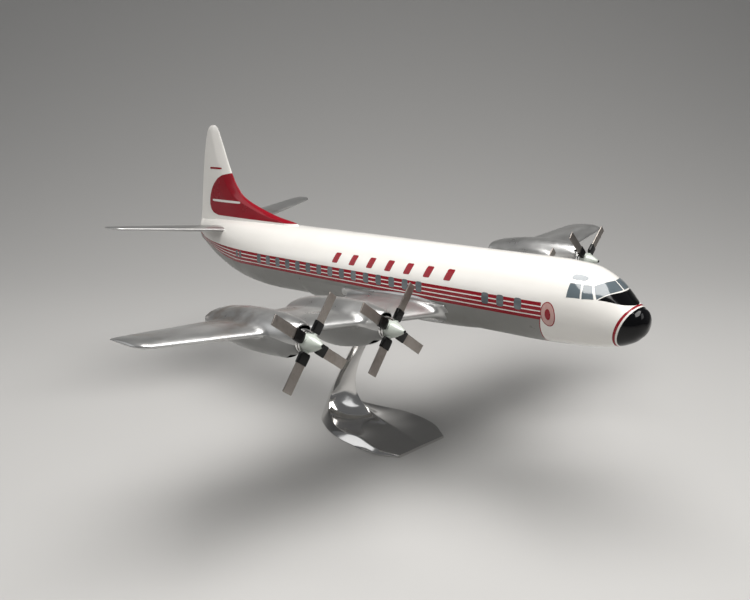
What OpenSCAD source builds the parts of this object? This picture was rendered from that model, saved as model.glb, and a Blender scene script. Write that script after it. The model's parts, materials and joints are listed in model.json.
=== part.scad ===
// Desk model of a four-engined propeller airliner on a polished cast stand.
// The origin is at the centre of the stand's underside, +X is towards the nose, +Y is to port, +Z is up.
// The aircraft is drawn in its own frame (x forward from the nose, y to port, z up from the fuselage
// axis) and place() puts it on the stand. Stations behind the nose are negative x.

/* [Attitude] */
// Nose-up angle of the aircraft on its stand, degrees
pitch = 3.8; // [2:0.1:6]
// Height of the fuselage axis above the ground, at the aircraft frame's origin
axis_height = 186.3; // [180:0.1:195]
// Distance from the centre of the stand back to front, to the aircraft frame's origin
nose_ahead = 293; // [285:1:300]

/* [Fuselage] */
// Radius of the parallel middle of the fuselage
fuselage_r = 34.5; // [33:0.1:36]
// Wall of the moulded fuselage shells
shell_wall = 2.2; // [1.6:0.1:3]

/* [Wing] */
// Half of the wing span
half_span = 297.3; // [285:0.1:302]
// Leading edge of the wing on the centre line
wing_le_x = -174; // [-178:0.5:-170]
// Trailing edge of the wing on the centre line
wing_te_x = -295; // [-300:0.5:-290]
// Height of the wing's mid plane on the centre line
wing_root_z = -23.2; // [-25:0.1:-22]
// Rise of the wing for each mm of span
dihedral = 0.095; // [0.08:0.005:0.12]

/* [Engines] */
// Distance from the centre line to an inboard engine
inboard_y = 98.2; // [96:0.1:101]
// Distance from the centre line to an outboard engine
outboard_y = 184.4; // [182:0.1:187]
// Height of the inboard engine axes
inboard_z = -17.5; // [-18:0.1:-17]
// Height of the outboard engine axes
outboard_z = -8.5; // [-9:0.1:-8]
// Plane in which the propellers turn
prop_x = -170.5; // [-172:0.1:-168]

/* [Propellers] */
// Radius swept by the blade tips
prop_r = 41.2; // [38:0.1:43]
// Width of a blade
blade_chord = 8.6; // [7:0.1:10]
// Thickness of a blade
blade_t = 1.2; // [0.8:0.1:1.6]
// Angle of the blades to the plane that they turn in
blade_pitch = 7; // [0:1:20]
// Turn of the starboard propellers at rest, degrees
starboard_turn = 52; // [0:1:90]
// Turn of the port propellers at rest, degrees
port_turn = 43.5; // [0:0.5:90]
// Diameter of a propeller shaft
shaft_d = 3; // [2.4:0.1:3.4]
// Gap all round a shaft in its sleeve
shaft_clearance = 0.05; // [0.02:0.01:0.1]

/* [Tail] */
// Half of the stabilizer span
stab_half_span = 136.4; // [130:0.1:140]

/* [Stand] */
// Diameter of the stud that joins the stand to the model
stud_d = 5; // [4:0.1:5]

/* [Hidden] */
$fn = 48;

// ---- smooth curves and skins ----

// Index of the table segment that holds s
function segment(table, s, i = 0) =
    i >= len(table) - 2 || s < table[i + 1][0] ? i : segment(table, s, i + 1);

// Slope of column c at row i, weighted by the lengths of the two segments beside it
function chord_slope(table, i, c) =
    (table[i + 1][c] - table[i][c]) / (table[i + 1][0] - table[i][0]);
function row_slope(table, i, c) =
    i == 0 ? chord_slope(table, 0, c)
    : i == len(table) - 1 ? chord_slope(table, i - 1, c)
    : let (before = table[i][0] - table[i - 1][0], after = table[i + 1][0] - table[i][0])
        (chord_slope(table, i - 1, c) * after + chord_slope(table, i, c) * before) / (before + after);

// Value of column c at s on a smooth curve through the rows of a table
function smooth(table, s, c) =
    let (i = segment(table, s), h = table[i + 1][0] - table[i][0])
    let (u = min(max((s - table[i][0]) / h, 0), 1))
    (2 * u^3 - 3 * u^2 + 1) * table[i][c] + (u^3 - 2 * u^2 + u) * h * row_slope(table, i, c)
    + (3 * u^2 - 2 * u^3) * table[i + 1][c] + (u^3 - u^2) * h * row_slope(table, i + 1, c);

// Numbers from a to b in n equal steps
function steps(a, b, n) = [for (i = [0:n]) a + (b - a) * i / n];

// Closed solid through rings of equally many points, whichever way round the rings run
function total(list) = [for (v = list) 1] * list;
function area_vector(ring) = total([for (j = [0:len(ring) - 1]) cross(ring[j], ring[(j + 1) % len(ring)])]);
function reversed(list) = [for (i = [len(list) - 1:-1:0]) list[i]];
module skin(rings) {
    n = len(rings[0]);
    last = len(rings) - 1;
    points = [for (ring = rings) each ring];
    sides = [for (i = [0:last - 1], j = [0:n - 1]) let (k = (j + 1) % n, a = i * n, b = a + n)
        each [[a + j, a + k, b + j], [a + k, b + k, b + j]]];
    ends = [[for (j = [n - 1:-1:0]) j], [for (j = [0:n - 1]) last * n + j]];
    faces = concat(sides, ends);
    inside_out = area_vector(rings[0]) * (total(rings[last]) - total(rings[0])) > 0;
    polyhedron(points, inside_out ? [for (face = faces) reversed(face)] : faces, convexity = 8);
}

// A zero in resize() keeps that size; the children become one continuous skin
module one_skin() resize([0, 0, 0]) children();

// Puts the aircraft frame on the stand
module place() translate([nose_ahead, 0, axis_height]) rotate([0, -pitch, 0]) children();

// Half space used to split or trim a body
far = 700;
module beyond_y(y, side) translate([-far, side > 0 ? y : y - far, -far / 2]) cube([far * 1.2, far, far]);

// ---- fuselage ----

nose_x = 2;
// Distance behind the nose tip, top, bottom, half width and height of the widest point
fuselage_rows = [
    [0, -8, -8, 0, -8], [2, -0.5, -14, 7, -7.4], [7, 4.4, -20.4, 13, -8], [15, 10, -25.4, 18.5, -7.7],
    [28, 21.9, -29, 25.5, -4.5], [45, 30.8, -31.5, 31, -1], [65, 33.8, -33, 33.2, 0],
    [90, 34.5, -34.2, 34.3, 0], [125, 34.5, -34.5, 34.5, 0], [400, 34.5, -34.5, 34.5, 0],
    [430, 34.5, -35, 33.6, -0.3], [462, 34.3, -33.8, 30.5, 0], [502, 33.6, -28.5, 24, 2.5],
    [532, 32.6, -20, 18, 6], [562, 31, -7.8, 11, 11.5], [577, 29.5, 1, 7, 15],
    [588, 27, 9.5, 3.2, 18], [590, 24, 15, 1.2, 19]];
fuselage_stations = [0.4, 1.5, 4, 8, 13, 20, 28, 38, 50, 65, 85, 125, 400, 425, 450, 475,
    500, 520, 540, 558, 573, 584, 588, 590];
ring_points = 36;

// Egg-shaped section at distance s behind the nose tip, with the surface moved out by extra
function fuselage_ring(s, extra = 0) =
    let (k = fuselage_r / 34.5, top = smooth(fuselage_rows, s, 1) * k + extra)
    let (bottom = smooth(fuselage_rows, s, 2) * k - extra, wide = smooth(fuselage_rows, s, 3) * k + extra)
    let (mid = smooth(fuselage_rows, s, 4) * k)
    [for (j = [0:ring_points - 1]) let (a = 360 * j / ring_points)
        [nose_x - s, max(wide, 0.1) * sin(a), mid + (cos(a) > 0 ? top - mid : mid - bottom) * cos(a)]];

module fuselage_body(extra = 0, stations = fuselage_stations)
    skin([for (s = stations) fuselage_ring(s, extra)]);

// Hollow core of the shells, clear of the solid nose and tail tips
core_stations = [22, 28, 38, 50, 65, 85, 125, 400, 425, 450, 475, 500, 520, 544];

stab_spar_x = -541;
stab_spar_z = 24.5;
stab_spar_d = 3;
stab_spar_reach = 30;
front_spar_x = -206;
rear_spar_x = -252;
spar_z = -17.8;
front_spar_d = 4;
rear_spar_d = 3;
spar_reach = 56;
stud_x = -284.5;
fin_tongue = [40, 2.6, 16];
fin_tongue_x = -560;

// One moulded shell of the fuselage; side is 1 for port and -1 for starboard
module fuselage_shell(side) {
    one_skin() difference() {
        intersection() {
            difference() {
                fuselage_body();
                fuselage_body(-shell_wall, core_stations);
            }
            beyond_y(0, side);
        }
        rod_holes();
        stud_hole(stud_d / 2 + 0.25);
        translate([fin_tongue_x, -fin_tongue[1] / 2 - 0.1, 20]) cube([fin_tongue[0] + 0.2, fin_tongue[1] + 0.2, 30]);
    }
}

module cross_bore(x, z, r, reach = 150) translate([x, 0, z]) rotate([90, 0, 0])
    cylinder(r = r, h = 2 * reach, center = true);

// Many-sided hole whose flats clear a rod of radius r
hole_sides = 16;
hole_gap = 0.03;
function hole_r(r) = (r + hole_gap) / cos(180 / hole_sides);
module cross_hole(x, z, r, reach = 150) cross_bore(x, z, hole_r(r), reach, $fn = hole_sides);

// Holes for the two wing spars, and for all three cross rods
module wing_rod_holes(reach = 150) {
    cross_hole(front_spar_x, spar_z, front_spar_d / 2, reach);
    cross_hole(rear_spar_x, spar_z, rear_spar_d / 2, reach);
}
module rod_holes() {
    wing_rod_holes();
    cross_hole(stab_spar_x, stab_spar_z, stab_spar_d / 2);
}

// ---- stand connection: the stud follows the lean of the stem ----

stud_lean = 30 + pitch;
belly_z = -37;
stud_up = 16;
stud_down = 22;
module along_stud() translate([stud_x, 0, belly_z]) rotate([0, stud_lean - pitch * 2, 0]) children();
module stud_bore(r, from = -60, to = 40) along_stud() translate([0, 0, from]) cylinder(r = r, h = to - from);
module stud_hole(r, from = -60, to = 40) stud_bore(hole_r(r), from, to, $fn = hole_sides);

// ---- wing saddle under the belly ----

saddle_front_x = -152;
saddle_rear_x = -366;
saddle_top_z = -11;
saddle_proud = 2.4;
// Distance behind the nose tip and how far the saddle stands out from the fuselage
saddle_rows = [[154, 0.3], [166, 1.5], [184, 2.4], [350, 2.4], [364, 2], [368, 1.2]];
saddle_stations = [154, 160, 168, 184, 350, 360, 368];
module saddle_body() skin([for (s = saddle_stations) fuselage_ring(s, smooth(saddle_rows, s, 1))]);

module wing_saddle() color("gray") place() one_skin() difference() {
    saddle_body();
    fuselage_body();
    translate([-far, -far / 2, saddle_top_z]) cube([far, far, far]);
    wing_rod_holes();
    stud_hole(stud_d / 2 + 0.25);
}

// ---- block inside the belly that carries the spars and the stand ----

block_front_x = -192;
block_length = 128;
block_top_z = -9;
block_gap = 0.3;
insert_d = 8;
insert_l = 10;
insert_up = 8;

module mounting_block() color("burlywood") place() difference() {
    intersection() {
        translate([block_front_x, 0, 0]) rotate([0, -90, 0])
            cylinder(r = fuselage_r - shell_wall - block_gap, h = block_length);
        translate([block_front_x - block_length - 1, -24, -40]) cube([block_length + 2, 48, 40 + block_top_z]);
    }
    cross_bore(front_spar_x, spar_z, front_spar_d / 2);
    cross_bore(rear_spar_x, spar_z, rear_spar_d / 2);
    stud_bore(insert_d / 2, 0);
}

module threaded_insert() color("goldenrod") place() along_stud() translate([0, 0, insert_up]) difference() {
    cylinder(d = insert_d, h = insert_l);
    translate([0, 0, -1]) cylinder(d = stud_d, h = insert_l + 2);
}

module stand_stud() color("silver") place() along_stud()
    translate([0, 0, -stud_down]) cylinder(d = stud_d, h = stud_down + stud_up);

module spar(x, z, d, reach) place() translate([x, 0, z]) rotate([90, 0, 0])
    cylinder(d = d, h = 2 * reach, center = true);
module front_spar() color("silver") spar(front_spar_x, spar_z, front_spar_d, spar_reach);
module rear_spar() color("silver") spar(rear_spar_x, spar_z, rear_spar_d, spar_reach);
module stabilizer_spar() color("silver") spar(stab_spar_x, stab_spar_z, stab_spar_d, stab_spar_reach);

// ---- flying surfaces ----

// Half thickness of a symmetrical aerofoil, as a share of its greatest thickness
function foil(u) = 1.4845 * sqrt(u) - 0.63 * u - 1.758 * u^2 + 1.4215 * u^3 - 0.5075 * u^4;
foil_points = 22;

// Section in the x-z plane: le and te are x positions, z its mid height, t its thickness, camber its rise
function foil_ring(y, le, te, z, t, camber = 0) =
    [for (j = [0:foil_points - 1]) let (a = 360 * j / foil_points, u = (1 + cos(a)) / 2)
        [le + (te - le) * u, y, z + camber * 4 * u * (1 - u) + (sin(a) > 0 ? 1 : -1) * abs(sin(a) == 0 ? 0
            : t * foil(u) + 0.35 * u) * (abs(sin(a)) < 0.01 ? 0 : 1)]];

// Share of the full chord that is left at y, where the tip is rounded over its last length
function tip_share(y, span, round_l) =
    y < span - round_l ? 1 : sqrt(max(1 - pow((y - span + round_l) / round_l, 2), 0.0));

tip_round = 11;
wing_tip_le_x = -220.3;
wing_tip_te_x = -263;
root_t = 15.5;
tip_t = 5.4;
wing_stations = [18, for (back = [11, 7.3, 4.3, 2.3, 0.9, 0]) half_span - back];

function wing_ring(y, side) =
    let (f = y / half_span, share = max(tip_share(y, half_span, tip_round), 0.06))
    let (le = wing_le_x + (wing_tip_le_x - wing_le_x) * f, te = wing_te_x + (wing_tip_te_x - wing_te_x) * f)
    let (pivot = le + (te - le) * 0.86, keep = 0.62 + 0.38 * share)
    foil_ring(side * y, pivot + (le - pivot) * keep, pivot + (te - pivot) * keep,
        wing_root_z + dihedral * y, (root_t + (tip_t - root_t) * f) * share, 1.2 * share);

module wing_panel(side)
    skin([for (y = wing_stations) wing_ring(y, side)]);

// ---- nacelles, in a frame at the propeller hub, x to the rear is positive distance d ----

// Distance behind the propeller, half width, top above the shaft, bottom of an outboard nacelle and
// bottom of an inboard nacelle, which is deeper to hold the wheels
nacelle_rows = [
    [7.5, 9.2, 13.3, -9.4, -9.4], [12, 11.2, 14.8, -10.6, -10.8], [17, 12.8, 15.9, -12, -12.6],
    [21, 13.8, 16.5, -14.6, -15.4], [30, 15.4, 17.2, -15.6, -18.2], [45, 17, 17.8, -16.3, -22],
    [62, 17.6, 17.6, -16.4, -24.2], [78, 17.8, 16.6, -15.4, -23], [95, 17.6, 14.4, -12, -18],
    [106, 17.2, 12.6, -8, -11.5], [113.5, 16.8, 10.6, -2, -3]];
nacelle_stations = [7.5, 9.5, 13, 18, 22, 30, 42, 56, 72, 86, 98, 107, 113.5];
nacelle_points = 26;
function rounded(v, e) = sign(v) * pow(abs(v), 2 / e);
function nacelle_ring(d, bottom_col) =
    let (w = smooth(nacelle_rows, d, 1), top = smooth(nacelle_rows, d, 2))
    let (bottom = smooth(nacelle_rows, d, bottom_col), mid = (top + bottom) * 0.42)
    [for (j = [0:nacelle_points - 1]) let (a = 360 * j / nacelle_points)
        [-d, w * rounded(sin(a), 2.25), mid + (cos(a) > 0 ? top - mid : mid - bottom) * rounded(cos(a), 2.25)]];

// Engines are numbered from the port wing tip to the starboard wing tip
engine_y = [outboard_y, inboard_y, -inboard_y, -outboard_y];
engine_z = [outboard_z, inboard_z, inboard_z, outboard_z];
engine_turn = [port_turn, port_turn, starboard_turn, starboard_turn];
module at_engine(i) translate([prop_x, engine_y[i - 1], engine_z[i - 1]]) children();
module at_propeller(i) place() at_engine(i) rotate([engine_turn[i - 1], 0, 0]) children();

cowl_x = 7.5;
sleeve_d = 6;
sleeve_end = 22;
pocket_end = 26;

// Slot over the spinner that takes in air, and the smaller one under the chin
module scoops() {
    translate([-cowl_x - 15, 0, 0]) rotate([0, 90, 0]) intersection() {
        difference() {
            cylinder(r = 12.1, h = 20, $fn = 28);
            translate([0, 0, -1]) cylinder(r = 9.7, h = 22, $fn = 28);
        }
        translate([-14, -7.6, -1]) cube([8.5, 15.2, 22]);
    }
    translate([-28, 0, -12.6]) rotate([0, 90, 0]) linear_extrude(12) square([2.2, 10], center = true);
}

module nacelle(i) at_engine(i) difference() {
    skin([for (d = nacelle_stations) nacelle_ring(d, i == 1 || i == 4 ? 3 : 4)]);
    scoops();
}

module engine_hole(i) at_engine(i) translate([-pocket_end, 0, 0]) rotate([0, 90, 0])
    cylinder(r = hole_r(sleeve_d / 2), h = pocket_end, $fn = hole_sides);

// One casting holds the wing panel and both of its nacelles
module wing(side, outer, inner) one_skin() difference() {
    union() {
        wing_panel(side);
        nacelle(outer);
        nacelle(inner);
    }
    saddle_body();
    fuselage_body();
    engine_hole(outer);
    engine_hole(inner);
    wing_rod_holes(spar_reach);
}
module left_wing() color("silver") place() wing(1, 1, 2);
module right_wing() color("silver") place() wing(-1, 4, 3);

// ---- tail ----

stab_root_z = 20.8;
stab_rise = 0.135;
stab_stations = [6, 126, 130, 133, 135, 136.4];
function stab_ring(y, side) =
    let (f = y / stab_half_span, share = max(tip_share(y, stab_half_span, 10), 0.06))
    let (le = -514 - 29 * f, te = -579 + 9 * f, pivot = (le + te) / 2 - 4, keep = 0.4 + 0.6 * share)
    foil_ring(side * y, pivot + (le - pivot) * keep, pivot + (te - pivot) * keep,
        stab_root_z + stab_rise * y, (7.2 - 3.4 * f) * share);

module stabilizer(side) one_skin() difference() {
    skin([for (y = stab_stations) stab_ring(y * stab_half_span / 136.4, side)]);
    fuselage_body();
    cross_hole(stab_spar_x, stab_spar_z, stab_spar_d / 2, stab_spar_reach);
}
module left_stabilizer() color("silver") place() stabilizer(1);
module right_stabilizer() color("silver") place() stabilizer(-1);

// Height, leading edge, trailing edge and half thickness of the fin, which flares into the fuselage
fin_rows = [
    [24, -392, -586.5, 8.5], [29, -396, -585.3, 6.6], [33, -400, -584.3, 5.4], [36.6, -407, -583.3, 4.7],
    [40.7, -432.5, -582.2, 4.3], [48, -463, -580.5, 4], [57, -490, -578.4, 3.8], [70, -506, -575.4, 3.5],
    [85.5, -515.5, -571.6, 3.2], [110, -525.5, -565, 2.6], [128, -532.6, -558.2, 2.1],
    [134, -535.5, -555, 1.8], [137, -538, -551.5, 1.2], [138.8, -541, -547, 0.5]];
fin_stations = [24, 29, 33, 36.6, 40.7, 44, 48, 52, 57, 63, 70, 85.5, 110, 128, 134, 137, 138.8];
fin_points = 22;
function fin_ring(z) =
    let (le = smooth(fin_rows, z, 1), te = smooth(fin_rows, z, 2), h = smooth(fin_rows, z, 3))
    [for (j = [0:fin_points - 1]) let (a = 360 * j / fin_points, u = (1 + cos(a)) / 2, chord = le - te)
        let (nose = min(1, sqrt(u * chord / 16)), taper = 1 - 0.86 * pow(max((u - 0.4) / 0.6, 0), 1.4))
        [le - chord * u, (sin(a) > 0 ? -1 : 1) * h * nose * taper * (abs(sin(a)) < 0.01 ? 0 : 1), z]];

module fin() color("ivory") place() one_skin() {
    difference() {
        skin([for (z = fin_stations) fin_ring(z)]);
        fuselage_body();
    }
    translate([fin_tongue_x + 0.1, -fin_tongue[1] / 2, 27]) cube([fin_tongue[0], fin_tongue[1], 8]);
}

module fuselage_left() color("ivory") place() fuselage_shell(1);
module fuselage_right() color("ivory") place() fuselage_shell(-1);

// ---- propeller parts, about the shaft, which points along +x; d is measured to the rear ----

module turned(d_front, d_back, r) translate([-d_back, 0, 0]) rotate([0, 90, 0]) cylinder(r = r, h = d_back - d_front);
module ring_part(d_front, d_back, r, bore_r) difference() {
    turned(d_front, d_back, r);
    turned(d_front - 1, d_back + 1, bore_r);
}

ring_front = 5.5;
backplate_front = 3.5;
backplate_back = 5;
shaft_front = -6;
shaft_end = 24.3;
collar_gap = 0.3;
spinner_r = 7;
spinner_tip = 14.6;
cuff_inner = 8.2;
cuff_outer = 17.4;
cuff_t = 3.6;
cuff_chord = 9.4;
shank_d = 2.6;
shank_inner = 4.4;
// The shank runs a little way into the plate
plate_inner = cuff_inner + 0.6;
shank_outer = cuff_inner + 1.4;

module bearing_sleeve(i) color("goldenrod") place() at_engine(i)
    ring_part(ring_front, sleeve_end, sleeve_d / 2, shaft_d / 2 + shaft_clearance);
module cowl_ring(i) color("silver") place() at_engine(i) ring_part(ring_front, cowl_x, 8.9, sleeve_d / 2);
module prop_shaft(i) color("gray") at_propeller(i) turned(shaft_front, shaft_end, shaft_d / 2);
module shaft_collar(i) color("gray") at_propeller(i)
    ring_part(sleeve_end + collar_gap, shaft_end, 2.4, shaft_d / 2);
module backplate(i) color("silver") at_propeller(i) ring_part(backplate_front, backplate_back, 8.2, shaft_d / 2);

module four_blades() for (k = [0:3]) rotate([90 * k, 0, 0]) children();

// Outline of the spinner, half of a section, from its back face to the small knob at its tip
function spinner_profile() = concat(
    [[0, -backplate_front], [spinner_r - 0.2, -backplate_front], [spinner_r, -backplate_front + 0.4]],
    [for (u = steps(0, 1, 10)) [1.3 + (spinner_r - 1.3) * pow(1 - pow(u, 1.3), 0.9), 1 + (spinner_tip - 2.4) * u]],
    [[1.5, spinner_tip - 1.1], [1.4, spinner_tip - 0.3], [1, spinner_tip], [0, spinner_tip]]);

module spinner(i) color("gainsboro") at_propeller(i) difference() {
    union() {
        rotate([0, 90, 0]) rotate_extrude() polygon(spinner_profile());
        four_blades() cylinder(d = 4.6, h = cuff_inner - 0.2);
    }
    turned(shaft_front, backplate_front + 1, shaft_d / 2);
    four_blades() translate([0, 0, shank_inner]) cylinder(d = shank_d, h = 8);
}

// A flat plate with square ends, set at blade_pitch, on a round shank that enters the spinner
module blade_plate() rotate([0, 0, blade_pitch]) translate([-blade_t / 2, -blade_chord / 2, plate_inner])
    cube([blade_t, blade_chord, prop_r - plate_inner]);
module blade_shank() translate([0, 0, shank_inner]) cylinder(d = shank_d, h = shank_outer - shank_inner);
module blades(i) color("rosybrown") at_propeller(i) four_blades() {
    blade_plate();
    blade_shank();
}

// Streamlined sleeve round the root of a blade
module cuff_outline() intersection() {
    square([cuff_t, cuff_chord], center = true);
    circle(d = cuff_chord * 1.03);
}
module blade_cuffs(i) color("black") at_propeller(i) four_blades() difference() {
    rotate([0, 0, blade_pitch]) translate([0, 0, cuff_inner]) linear_extrude(cuff_outer - cuff_inner) cuff_outline();
    blade_plate();
    blade_shank();
}

// ---- stand ----

// Each row is a ring of the stand, counted from the front edge back and up the stem:
// row number, ridge x and z, side crease x, y and z, foot x, y and z, rear or underside x and z
stand_rows = [
    [0, 69, 3, 69, 31.6, 2.8, 69, 32, 0, 69, 0],
    [1, 62, 4.6, 61.5, 33.4, 4.4, 61, 37, 0, 62, 0],
    [2, 50, 7.2, 50, 36, 7, 47, 43, 0, 49, 0],
    [3, 36, 9.6, 38, 38, 8.6, 30, 45, 0, 34, 0],
    [4, 20, 11.6, 22, 39.2, 9.2, 14, 45.3, 0, 18, 0],
    [5, 4, 15, 5, 39.4, 8, 0, 44.6, 0, 2, 0],
    [6, -9, 20, -12, 36.6, 6.8, -18, 41, 0, -14, 0],
    [7, -18, 26, -28, 30.4, 7.4, -35, 34.6, 0, -30, 0],
    [8, -22.8, 33, -40, 23, 10, -52, 25, 0, -46, 0],
    [9, -24.5, 41, -48.5, 16.4, 16.5, -63, 12.5, 1.2, -62, 0],
    [10, -24, 50, -49.5, 11.6, 27, -64.5, 6, 10, -66, 9],
    [11, -21, 61, -44, 9, 43, -56, 5, 30, -58, 29],
    [12, -16, 73, -35.5, 8, 60, -43.5, 4.6, 52, -45, 51.5],
    [13, -9.2, 86, -24.5, 7.6, 78, -31, 4.4, 73, -32.3, 72.8],
    [14, -0.6, 101, -13.2, 7.4, 96.4, -18.6, 4.2, 93.6, -19.8, 93.4],
    [15, 8.4, 116, -3, 7.3, 114, -7.6, 4.1, 112.6, -8.8, 112.6],
    [16, 22, 138, 11.5, 7.3, 138, 7, 4.1, 138, 5.8, 138]];
side_steps = 6;
foot_steps = 3;
under_steps = 2;

// Hollow of the surface between ridge and crease, deepest where the stem sweeps into the base
stand_hollow = [[0, 0, 0.2], [3, 0, 1], [5, 1.6, 3.2], [7, 4.5, 5.5], [9, 6, 3.5], [11, 3.2, 0.6],
    [13, 0.8, -0.8], [16, -0.4, -1]];

// Points from p to q, bowed by an offset that is greatest half way
function bowed(p, q, bow, n) = [for (i = [0:n - 1]) let (u = i / n) p + (q - p) * u + bow * 4 * u * (1 - u)];
function half_ring(t) =
    let (v = [for (c = [1:10]) smooth(stand_rows, t, c)])
    let (ridge = [v[0], 0, v[1]], crease = [v[2], v[3], v[4]], foot = [v[5], v[6], v[7]], rear = [v[8], 0, v[9]])
    let (inward = [-smooth(stand_hollow, t, 1) * 0.6, -smooth(stand_hollow, t, 1) * 0.5, -smooth(stand_hollow, t, 2)])
    concat(bowed(ridge, crease, inward, side_steps), bowed(crease, foot, [0, 0.5, 0], foot_steps),
        bowed(foot, rear, [0, 0, 0], under_steps), [rear]);
function stand_ring(t) =
    let (half = half_ring(t), n = len(half))
    concat([for (i = [0:n - 1]) half[i]], [for (i = [n - 2:-1:1]) [half[i][0], -half[i][1], half[i][2]]]);

module stand() color("silver") one_skin() difference() {
    skin([for (t = steps(0, 16, 32)) stand_ring(t)]);
    translate([-far / 2, -far / 2, -far]) cube(far);
    place() {
        saddle_body();
        fuselage_body();
        stud_hole(stud_d / 2, -stud_down, 10);
    }
}

// ---- every node ----

fuselage_left();
fuselage_right();
wing_saddle();
mounting_block();
left_wing();
right_wing();
front_spar();
rear_spar();
fin();
left_stabilizer();
right_stabilizer();
stabilizer_spar();
stand();
stand_stud();
threaded_insert();
for (i = [1:4]) {
    bearing_sleeve(i);
    cowl_ring(i);
    prop_shaft(i);
    shaft_collar(i);
    backplate(i);
    spinner(i);
    blades(i);
    blade_cuffs(i);
}
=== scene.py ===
"""Looks for the propeller airliner desk model: meshes, livery, materials, floor, lights and camera.

Shapes are worked out in the aircraft's own frame, in mm: x forward from the nose (stations behind the
nose are negative), y to port, z up from the fuselage axis. place() carries them into the row frame.
"""

import json
import math

import bmesh
import bpy
import numpy as np
import openvdb
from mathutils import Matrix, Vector


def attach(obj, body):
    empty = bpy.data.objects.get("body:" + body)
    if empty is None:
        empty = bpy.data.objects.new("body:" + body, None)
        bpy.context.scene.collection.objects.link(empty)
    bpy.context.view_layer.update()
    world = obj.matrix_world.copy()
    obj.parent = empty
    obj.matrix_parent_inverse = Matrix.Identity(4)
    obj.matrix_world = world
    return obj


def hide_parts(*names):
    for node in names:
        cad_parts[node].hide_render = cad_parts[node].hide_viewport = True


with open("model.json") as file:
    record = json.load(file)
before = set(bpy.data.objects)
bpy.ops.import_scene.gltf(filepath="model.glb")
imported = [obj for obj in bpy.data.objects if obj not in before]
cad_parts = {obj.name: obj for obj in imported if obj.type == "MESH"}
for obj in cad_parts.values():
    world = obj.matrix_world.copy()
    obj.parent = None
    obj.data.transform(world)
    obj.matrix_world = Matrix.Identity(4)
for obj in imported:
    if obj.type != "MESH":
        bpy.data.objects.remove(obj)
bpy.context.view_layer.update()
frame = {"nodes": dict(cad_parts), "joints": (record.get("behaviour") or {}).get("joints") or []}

MM = 0.001
AIRFRAME = "airframe"

# ---- the aircraft's frame, from the propeller joints ----

JOINTS = {j["child"]: j for j in frame["joints"]}
PROP_X = -170.5
ENGINE_YZ = {1: (184.4, -8.5), 2: (98.2, -17.5), 3: (-98.2, -17.5), 4: (-184.4, -8.5)}
AXIS = JOINTS["propeller_1"]["axis"]
PITCH = math.atan2(AXIS[2], AXIS[0])
COS_P, SIN_P = math.cos(PITCH), math.sin(PITCH)


def turn_up(points):
    """Turns aircraft-frame vectors nose-up, as the model sits on its stand."""
    p = np.asarray(points, float)
    return np.stack([p[..., 0] * COS_P - p[..., 2] * SIN_P, p[..., 1],
                     p[..., 0] * SIN_P + p[..., 2] * COS_P], -1)


HUB_1 = np.array([PROP_X, *ENGINE_YZ[1]])
ORIGIN = np.array(JOINTS["propeller_1"]["pos_m"]) / MM - turn_up(HUB_1)


def place(points):
    """Aircraft frame in mm to row frame in metres."""
    return (turn_up(points) + ORIGIN) * MM


def smooth(table, s, column):
    """Value of a column at s, on a smooth curve through the rows of a table."""
    t = np.asarray(table, float)
    x, y = t[:, 0], t[:, column]
    gap = np.diff(x)
    chord = np.diff(y) / gap
    slope = np.empty_like(y)
    slope[0], slope[-1] = chord[0], chord[-1]
    slope[1:-1] = (chord[:-1] * gap[1:] + chord[1:] * gap[:-1]) / (gap[1:] + gap[:-1])
    s = np.asarray(s, float)
    i = np.clip(np.searchsorted(x, s, side="right") - 1, 0, len(x) - 2)
    u = np.clip((s - x[i]) / gap[i], 0, 1)
    return ((2 * u**3 - 3 * u**2 + 1) * y[i] + (u**3 - 2 * u**2 + u) * gap[i] * slope[i]
            + (3 * u**2 - 2 * u**3) * y[i + 1] + (u**3 - u**2) * gap[i] * slope[i + 1])


# ---- materials ----

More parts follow.
